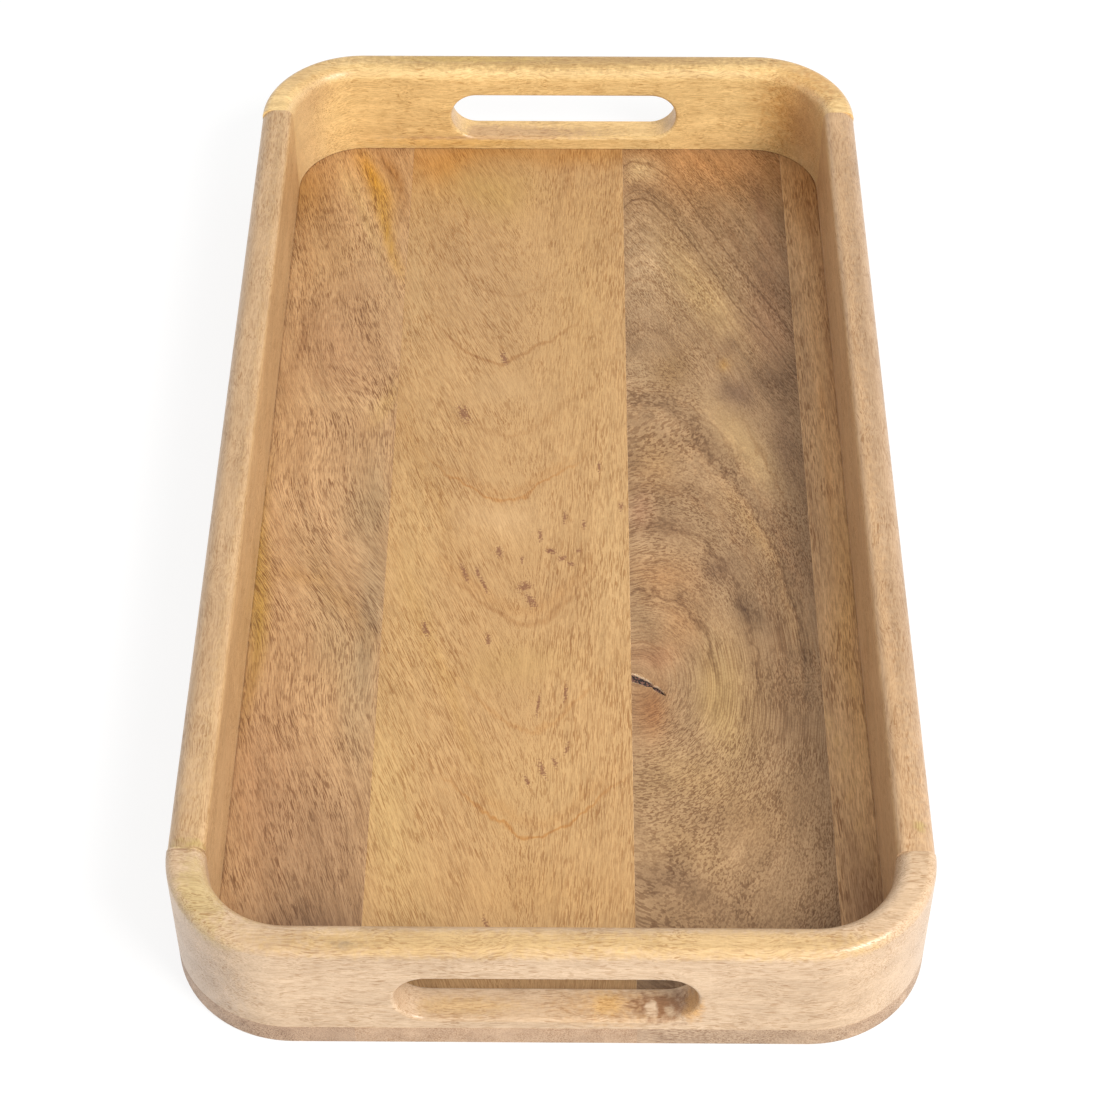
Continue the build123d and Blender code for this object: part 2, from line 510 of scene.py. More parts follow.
def rightFigure(x, y, z):
    # ovals round the knot, longer the further out they are, and arches leaning away at the far end
    dx, dy = x - 31, y + 88
    stretch = np.clip(0.78 - 0.0042 * np.hypot(dx, 0.6 * dy), 0.42, 0.78)
    out = np.hypot(dx, stretch * dy) + wander(x, y, 12, 45, 1.6)
    around = y + 0.9 * dx * np.tanh(-dy / 25)
    leaning = x + 0.46 * y + wander(x, y, 13, 60, 3.0)
    share = ramp(y + 0.6 * (x - 30) + wander(x, y, 14, 80, 10), 60, 110)
    arch = y + 2.1 * (np.hypot(x - 37, 7) - 7) + wander(x, y, 15, 30, 2.5)
    rings = np.where(share < 0.5, out, 400 - arch) + 0.8 * (z - floorTop)
    ringShare = np.abs(1 - 2 * share) * (1 - 0.85 * ramp(-y, 82, 112))
    clear = 1 - 0.9 * bell(x, y, (74, 41), (9, 24), 30) - 0.6 * bell(x, y, (40, -72), (12, 22))
    return {"grain": (out, around, z), "otherGrain": (leaning, y, z), "share": share,
            "rings": rings, "ringShare": ringShare, "clear": np.clip(clear, 0, 1)}


def stripFigure(x, y, z):
    # nearly straight
    u = x + 0.03 * y + wander(x, y, 21, 90, 0.8)
    return {"grain": (u, y, z), "rings": u + 0.8 * (z - floorTop), "ringShare": np.full_like(x, 0.7)}


def tone(red, green, blue):
    # a wood colour as it looks under the studio's light, as the shader needs it
    gain = (1.26, 1.26, 1.36)
    return tuple((value / 255) ** 2.2 / g for value, g in zip((red, green, blue), gain))


# patches of colour: centre, radii, lean in degrees, colour, strength
# flecks: place across and along the tray, width, length, lean in degrees
# each board's side colour is paler than its top: its own colour with painted sheen in it
boards = {
    "base_board_left": {
        "figure": leftFigure,
        "colour": tone(213, 169, 124),
        "sideColourAndSheen": (0.60, 0.41, 0.27),
        "patches": [
            ((-82, 203), (5, 20), 22, tone(224, 162, 58), 0.95),
            ((-74, 172), (3, 24), 18, tone(219, 165, 66), 0.85),
            ((-72, 206), (2.4, 20), 18, tone(174, 117, 58), 0.8),
            ((-86, 180), (2.6, 42), 19, tone(230, 190, 135), 0.8),
            ((-112, 196), (11, 26), 0, tone(197, 145, 83), 0.8),
            ((-100, 150), (14, 18), 0, tone(219, 175, 124), 0.6),
            ((-91, 94), (12, 28), 8, tone(195, 149, 108), 0.75),
            ((-106, 100), (2.2, 26), -6, tone(169, 121, 79), 0.6),
            ((-84, 58), (20, 5), 0, tone(228, 186, 139), 0.75),
            ((-70, 62), (4, 14), -15, tone(216, 173, 110), 0.6),
            ((-98, -2), (15, 16), 0, tone(226, 182, 137), 0.8),
            ((-72, 6), (8, 26), 5, tone(186, 153, 114), 0.85),
            ((-70, -70), (6, 50), 0, tone(181, 151, 116), 0.85),
            ((-84, -60), (6, 50), 14, tone(201, 165, 122), 0.6),
            ((-112.5, -58), (2.6, 46), 1, tone(203, 159, 80), 0.9),
            ((-116, -20), (3, 30), 0, tone(216, 171, 85), 0.8),
            ((-112, -100), (2.4, 22), 0, tone(193, 145, 80), 0.7),
            ((-98, -36), (13, 4), 25, tone(197, 149, 95), 0.6),
            ((-82, -48), (3, 34), 28, tone(193, 147, 95), 0.6),
            ((-104, -140), (16, 40), 10, tone(199, 153, 115), 0.8),
            ((-84, -160), (22, 26), 0, tone(181, 141, 106), 0.75),
            ((-82, -210), (38, 34), 0, tone(148, 113, 85), 0.92),
        ],
    },
    "base_board_centre": {
        "figure": centreFigure,
        "colour": tone(209, 165, 115),
        "sideColourAndSheen": (0.74, 0.52, 0.34),
        "patches": [
            ((-48, 218), (24, 16), 0, tone(211, 151, 83), 0.85),
            ((5, 222), (30, 9), 0, tone(201, 147, 85), 0.8),
            ((-30, 200), (20, 18), 0, tone(203, 163, 101), 0.8),
            ((4, 205), (2.5, 22), 0, tone(172, 123, 73), 0.5),
            ((-34, 128), (18, 34), 8, tone(201, 159, 113), 0.8),
            ((-60, 140), (4, 44), 3, tone(214, 174, 125), 0.6),
            ((12, 120), (14, 70), 0, tone(211, 167, 113), 0.6),
            ((-21, 70), (18, 10), 0, tone(211, 169, 121), 0.7),
            ((-21, -5), (18, 10), 0, tone(214, 172, 125), 0.85),
            ((-55, -30), (12, 80), 0, tone(216, 174, 119), 0.7),
            ((-58, -150), (10, 60), 10, tone(220, 180, 123), 0.8),
            ((-52, 20), (3, 60), 16, tone(195, 147, 91), 0.4),
            ((-40, -90), (4, 60), 20, tone(199, 153, 91), 0.5),
            ((-4, -36), (22, 14), 0, tone(201, 157, 109), 0.6),
            ((-16, -80), (22, 10), 0, tone(205, 163, 107), 0.6),
            ((22, -20), (7, 60), 0, tone(218, 176, 125), 0.7),
            ((-4, -140), (20, 22), 0, tone(213, 171, 119), 0.6),
            ((-4, -186), (34, 12), 0, tone(207, 161, 107), 0.6),
            ((-48, -218), (16, 12), 0, tone(177, 135, 89), 0.8),
            ((8, -220), (26, 12), 0, tone(187, 145, 99), 0.8),
        ],
        "flecks": [
            (-21.7, 87.9, 1.3, 5.0, 12), (-37.4, 54.6, 2.4, 6.0, 18), (-34.7, -33.6, 1.0, 6.5, 18),
            (-29.5, -34.0, 0.9, 3.4, 8), (-21.4, -22.5, 1.3, 3.8, 6), (-27.0, -40.0, 0.8, 5.5, 20),
            (-11.4, -41.0, 2.4, 3.6, -35), (-8.6, -48.5, 1.8, 4.8, 25), (-1.0, -22.4, 1.5, 2.2, 50),
            (3.0, -26.0, 1.5, 2.0, -40), (-5.6, -14.0, 0.9, 4.4, 0), (9.5, -22.0, 1.3, 1.3, 0),
            (-2.0, -22.0, 2.4, 1.1, 0), (6.4, -29.0, 1.6, 1.3, 0), (-12.5, -27.0, 0.7, 2.0, 0),
            (-3.7, -130.7, 1.1, 4.8, 15), (0.9, -127.4, 1.0, 3.0, 10), (5.0, -121.0, 0.8, 3.4, -8),
            (-9.0, -136.0, 0.8, 3.0, 15), (-5.5, -100.0, 0.7, 7.0, -6), (4.6, -94.0, 0.8, 5.0, -4),
            (17.5, 24.0, 0.7, 3.6, 0), (26.1, 2.0, 1.0, 3.0, 0), (-24.5, -68.0, 1.0, 4.0, 4),
            (-48.5, -63.0, 1.2, 5.0, 14), (4.0, -4.0, 0.9, 3.6, 0), (11.5, -8.0, 0.8, 3.0, 0),
            (-22.0, -200.0, 0.8, 6.0, 14), (-32.0, -206.0, 1.0, 6.0, 20),
        ],
    },
    "base_board_right": {
        "figure": rightFigure,
        "colour": tone(178, 142, 106),
        "sideColourAndSheen": (0.66, 0.49, 0.32),
        "knot": {
            "start": (28.0, -86.0),
            "end": (41.4, -95.0),
            "bow": 1.0,
            "width": 2.1,
            "depth": 1.1,
            "fineAcross": (29.4, 43.8),
            "fineAlong": (-98.2, -83.0),
        },
        "patches": [
            ((64, 215), (44, 22), 0, tone(204, 150, 101), 0.85),
            ((38, 210), (9, 9), 0, tone(224, 187, 138), 0.9),
            ((88, 186), (3, 22), 8, tone(159, 116, 87), 0.75),
            ((74, 172), (1.6, 26), 18, tone(134, 91, 55), 0.5),
            ((38, 150), (11, 26), 0, tone(217, 180, 140), 0.75),
            ((62, 130), (12, 40), 20, tone(212, 174, 121), 0.7),
            ((92, 140), (7, 40), 0, tone(186, 142, 105), 0.6),
            ((89, 108), (9, 22), 0, tone(194, 149, 112), 0.6),
            ((72, 91), (6, 8), 0, tone(154, 118, 85), 0.8),
            ((73, 64), (9, 7), 25, tone(133, 101, 79), 0.85),
            ((87, 76), (8, 10), 0, tone(137, 105, 77), 0.75),
            ((69, 80), (2.6, 3.4), 0, tone(196, 148, 81), 0.8),
            ((48, 84), (9, 12), 0, tone(165, 127, 83), 0.7),
            ((36, 82), (5, 9), 0, tone(182, 148, 111), 0.6),
            ((76, 38), (8, 26), 30, tone(194, 158, 113), 0.95),
            ((94, 44), (5, 22), 0, tone(156, 120, 90), 0.6),
            ((40, 26), (12, 14), 0, tone(186, 144, 99), 0.7),
            ((33, 4), (5, 10), 0, tone(192, 142, 109), 0.6),
            ((46, -6), (9, 9), 0, tone(153, 117, 85), 0.7),
            ((62, -33), (7, 9), 35, tone(131, 99, 73), 0.85),
            ((74, -54), (6, 10), 25, tone(125, 96, 71), 0.85),
            ((76, -8), (5, 16), 30, tone(192, 152, 105), 0.7),
            ((88, -44), (3, 26), 14, tone(188, 148, 105), 0.7),
            ((90, -20), (4, 26), 12, tone(160, 121, 88), 0.6),
            ((42, -34), (12, 14), 30, tone(194, 146, 101), 0.85),
            ((46, -62), (10, 16), 0, tone(192, 144, 99), 0.7),
            ((37, -76), (7, 7), 0, tone(186, 136, 99), 0.8),
            ((36, -106), (6, 16), 0, tone(176, 121, 77), 0.85),
            ((64, -96), (10, 26), 0, tone(186, 150, 99), 0.8),
            ((84, -92), (8, 22), 0, tone(166, 128, 92), 0.6),
            ((84, -112), (1.0, 6), 0, tone(94, 64, 36), 0.7),
            ((50, -136), (20, 12), 0, tone(192, 154, 109), 0.7),
            ((72, -150), (16, 16), 0, tone(169, 131, 91), 0.6),
            ((48, -166), (16, 9), -30, tone(188, 150, 107), 0.6),
            ((44, -182), (20, 7), -28, tone(137, 105, 77), 0.7),
            ((60, -205), (22, 16), -20, tone(157, 121, 85), 0.7),
            ((36, -216), (14, 10), 0, tone(129, 99, 73), 0.8),
            ((94, -212), (8, 16), 0, tone(164, 128, 92), 0.7),
            ((94, -150), (6, 60), 0, tone(184, 146, 108), 0.7),
        ],
    },
    "base_board_edge_strip": {
        "figure": stripFigure,
        # the strip's own pale wood, lifted further as painted light where the right rail shades it
        "colour": tone(252, 204, 151),
        "sideColourAndSheen": (0.62, 0.45, 0.30),
        "patches": [
            ((101, 0), (4, 230), 0, tone(206, 162, 120), 0.7),
            ((108, 40), (1.2, 120), 0, tone(208, 148, 83), 0.5),
            ((113, 120), (3, 130), 0, tone(189, 133, 79), 0.6),
            ((112, -60), (3, 60), 0, tone(231, 178, 107), 0.6),
            ((104, -116), (0.9, 20), 16, tone(255, 209, 148), 0.8),
            ((109, -150), (0.8, 26), 15, tone(255, 205, 143), 0.8),
            ((110, -192), (10, 36), 0, tone(154, 112, 81), 0.8),
            ((110, 205), (10, 26), 0, tone(186, 129, 71), 0.6),
        ],
    },
}

ringDefaults = {"ringWidth": 0.05, "ringStrength": 0.4, "ringTone": (0.7, 0.6, 0.5), "ringShade": 0.2}
darkLine, brownLine = (0.5, 0.4, 0.3), (0.7, 0.56, 0.4)
orangeLine, paleLine = (0.85, 0.66, 0.4), (1.3, 1.3, 1.3)
boardFinish = {
    "base_board_left": {
        **ringDefaults,
        "seed": 3.0,
        "ringSpacing": 9.0,
        "ringStrength": 0.4,
        "poreTone": (0.44, 0.34, 0.26),
        "streaks": 0.5,
    },
    "base_board_centre": {
        "seed": 11.0,
        "bands": 0.16,
        "cloud": 0.18,
        "poreTone": (0.62, 0.5, 0.37),
        # where each growth line turns, its width, strength and tone
        "lines": [
            (126, 2.2, 0.3, brownLine), (85, 2.0, 0.7, brownLine), (40, 2.4, 0.3, brownLine),
            (4, 1.6, 0.75, orangeLine), (8, 5.0, 0.25, orangeLine), (-59, 3.0, 0.5, brownLine),
            (-53, 7.0, 0.25, orangeLine), (-110, 2.4, 0.35, orangeLine), (-162, 1.5, 0.9, orangeLine),
            (-156, 6.0, 0.25, orangeLine),
        ],
    },
    "base_board_right": {
        **ringDefaults,
        "seed": 23.0,
        "ringSpacing": 9.0,
        "ringStrength": 0.35,
        "ringShade": 0.3,
        "pore": (0.5, 2.6),
        "hair": (0.38, 1.8),
        "hairStrength": 0.75,
        "cloud": 0.55,
        "cloudSize": (9, 17, 9),
        "streaks": 0.45,
        "bands": 0.35,
        "speckle": 0.55,
        # out from the knot, then the arches at the far end
        "lines": [
            (14, 0.8, 0.4, brownLine), (30, 1.3, 0.65, darkLine), (46.5, 1.3, 0.6, darkLine),
            (54, 1.0, 0.3, brownLine), (61.5, 1.6, 0.5, paleLine), (63.5, 0.8, 0.6, darkLine),
            (67, 1.4, 0.5, paleLine), (72, 1.0, 0.4, brownLine), (180, 1.4, 0.7, darkLine),
            (201, 1.3, 0.6, darkLine), (206.5, 1.5, 0.7, darkLine),
            (236, 1.4, 0.4, brownLine), (226, 1.0, 0.25, brownLine), (150, 1.2, 0.4, darkLine),
            (158, 1.2, 0.3, paleLine), (262, 1.3, 0.3, brownLine),
        ],
    },
    "base_board_edge_strip": {**ringDefaults, "seed": 31.0, "ringSpacing": 4.0, "streaks": 0.5},
}


def stops(low, high, step, fine=None):
    # places from low to high, closer together over the fine stretch
    places = list(np.linspace(low, high, max(2, round((high - low) / step) + 1)))
    if fine:
        fineLow, fineHigh = fine
        fineStep, gap = boardEdge["fineStep"], 0.6 * step
        places = [p for p in places if not fineLow - gap < p < fineHigh + gap]
        places += list(np.arange(fineLow, fineHigh + fineStep / 2, fineStep))
    return np.array(sorted(places))


def boardColumns(low, high, bend, radius, fine):
    # places across a board, closer together beside the tray's rounded corners
    gap = boardEdge["leastGap"]
    flat = stops(max(low, -bend), min(high, bend), boardEdge["columnStep"], fine)
    arcs = np.sin(np.linspace(0, math.pi / 2, boardEdge["arcSteps"] + 1)) * radius + bend
    left = [-a for a in arcs[::-1] if -a < -bend - gap and -a >= low - boardEdge["touch"]]
    right = [a for a in arcs if bend + gap < a < high - gap]
    if high > bend:
        right.append(high)
    if low > bend:
        return np.array([low] + [a for a in right if a > low + gap])
    return np.concatenate([left, flat, right])


def boardLevels(top):
    # from the top down: height, how far the outline lies inwards, and how far the glued sides do
    arris, rounding = boardEdge["arris"], boardEdge["footRounding"]
    levels = [(top, arris, arris), (top - arris, 0, 0), (rounding, 0, 0)]
    for step in range(1, boardEdge["footSteps"] + 1):
        angle = step / boardEdge["footSteps"] * math.pi / 2
        levels.append((rounding * (1 - math.sin(angle)), rounding * (1 - math.cos(angle)), 0))
    return levels


def boardMesh(name, board):
    half, radius = tray["halfWidth"] * 1000, tray["cornerRadius"] * 1000
    endY, jointY = tray["halfLength"] * 1000, tray["jointY"] * 1000
    bend, touch = half - radius, boardEdge["touch"]
    low, high = [round(side.x * 1000, 2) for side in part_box(name)]
    knot = board.get("knot", {})
    columns = boardColumns(low, high, bend, radius, knot.get("fineAcross"))
    rows = stops(-endY, endY, boardEdge["rowStep"], knot.get("fineAlong")) / endY

    def grid(inset, pulled):
        size = np.abs(columns)
        turned = np.sign(columns) * (bend + (size - bend) * (radius - inset) / radius)
        x = np.where(size > bend, turned, columns)
        if low > touch - half:
            x[0] = low + pulled
        if high < half - touch:
            x[-1] = high - pulled
        past = np.maximum(np.abs(x) - bend, 0)
        roundEnd = jointY + np.sqrt(np.maximum((radius - inset) ** 2 - past ** 2, 0))
        reach = np.where(past > 0, roundEnd, endY - inset)
        return np.repeat(x[:, None], len(rows), 1), reach[:, None] * rows[None, :]

    # the top and the underside are whole grids, with a ring of points at each level between them
    levels = boardLevels(tray["floorHeight"] * 1000)
    number = np.arange(len(columns) * len(rows)).reshape(len(columns), len(rows))
    edge = np.concatenate([number[:, 0], number[-1, 1:], number[-2::-1, -1], number[0, -2:0:-1]])
    quads = np.stack([number[:-1, :-1], number[1:, :-1], number[1:, 1:], number[:-1, 1:]], -1)
    quads = quads.reshape(-1, 4)
    points, faces, rings, start = [], [], [], 0
    for place, (z, inset, pulled) in enumerate(levels):
        x, y = grid(inset, pulled)
        layer = np.stack([x, y, np.full_like(x, z)], -1).reshape(-1, 3)
        if place in (0, len(levels) - 1):
            rings.append(edge + start)
            faces.append((quads if place == 0 else quads[:, ::-1]) + start)
        else:
            layer = layer[edge]
            rings.append(np.arange(len(edge)) + start)
        points.append(layer)
        start += len(layer)
    for upper, lower in zip(rings[:-1], rings[1:]):
        faces.append(np.stack([upper, lower, np.roll(lower, -1), np.roll(upper, -1)], -1))
    points, faces = np.concatenate(points), np.concatenate(faces)

    crack = None
    if knot:
        crack = knotMask(points, knot) * (points[:, 2] > levels[0][0] - touch)
        points[:, 2] -= crack * knot["depth"]
    mesh = bpy.data.meshes.new(name)
    mesh.from_pydata((points / 1000).tolist(), [], faces.tolist())
    mesh.polygons.foreach_set("use_smooth", [True] * len(mesh.polygons))
    mesh.set_sharp_from_angle(angle=math.radians(boardEdge["sharpAngle"]))
    paintBoard(mesh, board, points, crack)
    return mesh


def knotMask(points, knot):
    # 1 inside a short bowed crack that tapers to its end, with one narrow place
    start, end = np.array(knot["start"]), np.array(knot["end"])
    reach = end - start
    length = np.linalg.norm(reach)
    along = (points[:, :2] - start) @ (reach / length) / length
    side = np.array([-reach[1], reach[0]]) / length
    across = (points[:, :2] - start) @ side - knot["bow"] * 4 * along * (1 - along)
    narrow = 1 - 0.6 * np.exp(-((along - 0.62) / 0.06) ** 2)
    width = knot["width"] * np.sqrt(np.clip(1 - along, 0, 1)) * narrow
    inside = 1 - ramp(np.abs(across) / np.maximum(width, 0.05), 0.55, 1.1)
    return inside * (along > -0.2) * (along < 1)


def storeNumbers(mesh, name, kind, values):
    layer = mesh.attributes.new(name, kind, "POINT")
    field = {"FLOAT": "value", "FLOAT_VECTOR": "vector", "FLOAT_COLOR": "color"}[kind]
    layer.data.foreach_set(field, values.ravel())


def paintBoard(mesh, board, points, crack):
    x, y, z = points.T
    figure = board["figure"](x, y, z)
    for name in ("grain", "otherGrain"):
        if name in figure:
            storeNumbers(mesh, name, "FLOAT_VECTOR", np.stack(np.broadcast_arrays(*figure[name]), -1))
    if crack is not None:
        figure["knot"] = crack
    for name in ("share", "rings", "ringShare", "clear", "knot"):
        if name in figure:
            storeNumbers(mesh, name, "FLOAT", figure[name])
    tint = np.tile(np.array(board["colour"]), (len(x), 1))
    # the patches' outlines wander a little
    patchX, patchY = x + wander(x, y, 31, 22, 2.2), y + wander(x, y, 32, 30, 5.0)
    for centre, radii, lean, colour, strength in board["patches"]:
        share = strength * bell(patchX, patchY, centre, radii, lean)[:, None]
        tint = tint * (1 - share) + np.array(colour) * share
    # below the top the sides take their own colour, painted paler as sheen
    outside = boardEdge["sideShare"] * (z < tray["floorHeight"] * 1000 - boardEdge["arris"] / 2)[:, None]
    tint = tint * (1 - outside) + np.array(board["sideColourAndSheen"]) * outside
    storeNumbers(mesh, "tint", "FLOAT_COLOR", np.concatenate([tint, np.ones((len(x), 1))], 1))


def boardMaterial(name, board):
    marks = [
        spot((x, y, floorTop), (wide * 1.2, long * 1.1, 3), lean=-lean, **fleckLook)
        for x, y, wide, long, lean in board.get("flecks", ())
    ]

    def surface(tree, here):
        wood = {"grain": attribute(tree, "grain", "Vector"), "colour": attribute(tree, "tint", "Color")}
        kept = ["rings", "ringShare"]
        if board["figure"] in (centreFigure, rightFigure):
            wood["otherGrain"] = attribute(tree, "otherGrain", "Vector")
            kept += ["share", "clear"]
        if "knot" in board:
            kept.append("knot")
        for kind in kept:
            wood[kind] = attribute(tree, kind, "Fac")
        return wood

    # the flecks, then the painted shade along the foot of the rails
    finish = {**woodDefaults, **boardFinish[name], "marks": [*marks, paintFootShade]}
    return woodMaterial(name.replace("base_board", "wood"), finish, surface)


# rails: one swept profile each, the end rails turning both corners and cut for the hand

# inputs of the sweep, in metres
railShape = {
    "Foot Height": tray["floorHeight"],
    "Rim Height": tray["rimHeight"],
    "Wall": tray["wall"],
    "Bend Radius": tray["cornerRadius"] - tray["wall"] / 2,
    "Outer Rounding": 0.0058,
    "Inner Rounding": 0.0036,
    "Slot Length": 0.100,
    "Slot Height": 0.0227,
}
handSlots = {
    "front": {"Slot Offset": -0.0012, "Slot Sill": 0.0050},
    "rear": {"Slot Offset": 0.0024, "Slot Sill": 0.0062},
}
railEdge = {
    "arris": 0.00012,
    "bendSteps": 32,
    "rimSteps": 10,
    "slotSteps": 20,
    "slotRounding": 0.0015,
    "slotRoundingSteps": 6,
    "cutterReach": 0.03,
    "pastJoint": 0.001,
    "mergeWithin": 0.00002,
}


def shape(tree, kind, inputs=None, **settings):
    return addNode(tree, "GeometryNode" + kind, inputs, **settings).outputs[0]


def roundCorners(tree, curve, radius, steps):
    inputs = {"Curve": curve, "Radius": radius, "Count": steps, "Limit Radius": True}
    return shape(tree, "FilletCurve", inputs, mode="POLY")


def sweep(tree, path, profile):
    inputs = {"Curve": path, "Profile Curve": profile, "Fill Caps": True}
    return shape(tree, "CurveToMesh", inputs)


def railProfile(tree, given):
    # the profile hangs upside down along the path, so its heights are negative
    outer = calc(tree, "MULTIPLY", given["Wall"], 0.5)
    inner = calc(tree, "MULTIPLY", given["Wall"], -0.5)
    foot = calc(tree, "MULTIPLY", given["Foot Height"], -1.0)
    rim = calc(tree, "MULTIPLY", given["Rim Height"], -1.0)
    corners = [(inner, foot), (outer, foot), (outer, rim), (inner, rim)]
    inputs = {"Point %d" % (n + 1): combine(tree, *corner, 0.0) for n, corner in enumerate(corners)}
    profile = shape(tree, "CurvePrimitiveQuadrilateral", inputs, mode="POINTS")
    # both foot corners get the arris, then come the outer and the inner edge of the rim
    index = shape(tree, "InputIndex")
    atOuter = calc(tree, "COMPARE", index, 2.0, 0.1)
    atInner = calc(tree, "COMPARE", index, 3.0, 0.1)
    outerRounding = calc(tree, "MULTIPLY", atOuter, given["Outer Rounding"])
    innerRounding = calc(tree, "MULTIPLY", atInner, given["Inner Rounding"])
    arris = calc(tree, "MULTIPLY", calc(tree, "LESS_THAN", index, 1.5), railEdge["arris"])
    radius = calc(tree, "ADD", calc(tree, "ADD", outerRounding, innerRounding), arris)
    return roundCorners(tree, profile, radius, railEdge["rimSteps"])


def squareEnds(tree, rail, given):
    # what lies short of a joint is drawn to it, so that the ends are flat
    place = separate(tree, shape(tree, "InputPosition"))
    reach = calc(tree, "MAXIMUM", calc(tree, "ABSOLUTE", place[1]), given["Joint"])
    squared = combine(tree, place[0], calc(tree, "MULTIPLY", reach, calc(tree, "SIGN", place[1])), place[2])
    rail = shape(tree, "SetPosition", {"Geometry": rail, "Position": squared})
    inputs = {"Geometry": rail, "Distance": railEdge["mergeWithin"]}
    return shape(tree, "MergeByDistance", inputs)


def slotCutter(tree, given):
    inputs = {"Width": given["Slot Length"], "Height": given["Slot Height"]}
    slot = shape(tree, "CurvePrimitiveQuadrilateral", inputs, mode="RECTANGLE")
    nearlyHalf = calc(tree, "MULTIPLY", given["Slot Height"], 0.4999)
    slot = roundCorners(tree, slot, nearlyHalf, railEdge["slotSteps"])
    reach = railEdge["cutterReach"]
    inputs = {"Start": (0, 0, -reach), "End": (0, 0, reach)}
    cutter = sweep(tree, shape(tree, "CurvePrimitiveLine", inputs), slot)
    sill = calc(tree, "ADD", given["Foot Height"], given["Slot Sill"])
    middle = calc(tree, "MULTIPLY_ADD", given["Slot Height"], 0.5, sill)
    inputs = {
        "Geometry": cutter,
        "Translation": combine(tree, given["Slot Offset"], given["Slot Face"], middle),
        "Rotation": (math.pi / 2, 0, 0),
    }
    return shape(tree, "Transform", inputs)


def railTree():
    tree = bpy.data.node_groups.new("sweptRail", "GeometryNodeTree")
    tree.interface.new_socket("Geometry", in_out="INPUT", socket_type="NodeSocketGeometry")
    for name in (*railShape, *handSlots["front"], "Slot Face", "Joint"):
        tree.interface.new_socket(name, in_out="INPUT", socket_type="NodeSocketFloat")
    tree.interface.new_socket("Cut Slot", in_out="INPUT", socket_type="NodeSocketBool")
    tree.interface.new_socket("Material", in_out="INPUT", socket_type="NodeSocketMaterial")
    tree.interface.new_socket("Geometry", in_out="OUTPUT", socket_type="NodeSocketGeometry")
    given = addNode(tree, "NodeGroupInput").outputs

    path = shape(tree, "MeshToCurve", {"Mesh": given["Geometry"]})
    bent = roundCorners(tree, path, given["Bend Radius"], railEdge["bendSteps"])
    level = shape(tree, "SetCurveNormal", {"Curve": bent}, mode="Z_UP")
    rail = squareEnds(tree, sweep(tree, level, railProfile(tree, given)), given)

    cut = addNode(tree, "GeometryNodeMeshBoolean", operation="DIFFERENCE", solver="EXACT")
    tree.links.new(rail, cut.inputs[0])
    tree.links.new(slotCutter(tree, given), cut.inputs[1])
    # the cut edges are marked for the bevel that rounds them
    inputs = {"Geometry": cut.outputs[0], "Selection": cut.outputs[1]}
    inputs.update({"Name": "bevel_weight_edge", "Value": 1.0})
    marked = shape(tree, "StoreNamedAttribute", inputs, data_type="FLOAT", domain="EDGE")
    # a sweep's faces look inwards, and the cut turns them outwards by itself
    plain = shape(tree, "FlipFaces", {"Mesh": rail})
    inputs = {"Switch": given["Cut Slot"], "False": plain, "True": marked}
    chosen = shape(tree, "Switch", inputs, input_type="GEOMETRY")
    whole = shape(tree, "RealizeInstances", {"Geometry": chosen})
    inputs = {"Geometry": whole, "Material": given["Material"]}
    painted = shape(tree, "SetMaterial", inputs)
    addNode(tree, "NodeGroupOutput", {0: painted})
    return tree


def setInputs(modifier, values):
    for item in modifier.node_group.interface.items_tree:
        if item.item_type == "SOCKET" and item.in_out == "INPUT" and item.name in values:
            modifier[item.identifier] = values[item.name]


def railMesh(name, tree, path, material, slot=None):
    line = bpy.data.meshes.new(name + "Path")
    line.from_pydata([(x, y, 0) for x, y in path], [(n, n + 1) for n in range(len(path) - 1)], [])
    holder = bpy.data.objects.new(name + "Path", line)
    bpy.context.scene.collection.objects.link(holder)
    modifier = holder.modifiers.new("sweep", "NODES")
    modifier.node_group = tree
    values = {**railShape, "Cut Slot": slot is not None, "Material": material, "Joint": 0.0}
    if slot:
        values.update({**slot, "Joint": tray["jointY"]})
    setInputs(modifier, values)
    if slot:
        soften = holder.modifiers.new("softSlot", "BEVEL")
        soften.limit_method = "WEIGHT"
        soften.width = railEdge["slotRounding"]
        soften.segments = railEdge["slotRoundingSteps"]
        soften.use_clamp_overlap = False
    weigh = holder.modifiers.new("flatFaces", "WEIGHTED_NORMAL")
    weigh.keep_sharp = True
    graph = bpy.context.evaluated_depsgraph_get()
    mesh = bpy.data.meshes.new_from_object(holder.evaluated_get(graph))
    mesh.name = name
    bpy.data.objects.remove(holder)
    return mesh


railFinish = {
    "front": {"seed": 41.0, "colour": (0.555, 0.390, 0.245), "grainAxis": (1, 0, 0)},
    "rear": {"seed": 47.0, "colour": (0.735, 0.510, 0.225), "grainAxis": (1, 0, 0)},
    "left": {"seed": 53.0, "colour": (0.510, 0.325, 0.162), "grainAxis": (0, 1, 0)},
    "right": {"seed": 59.0, "colour": (0.505, 0.318, 0.168), "grainAxis": (0, 1, 0)},
}
railDefaults = {
    **woodDefaults,
    "pore": (0.5, 4.6),
    "poreCut": (0.60, 0.66),
    "poreStrength": 0.9,
    "hair": (0.36, 5.0),
    "hairCut": (0.51, 0.57),
    "hairStrength": 0.55,
    "poreTone": (0.62, 0.50, 0.36),
    "fibre": 0.4,
    "streaks": 0.46,
    "bands": 0.34,
    "cloud": 0.2,
    "endShare": 0.35,
    "endColourAndSheen": (0.50, 0.36, 0.25),
    "roughness": 0.3,
}
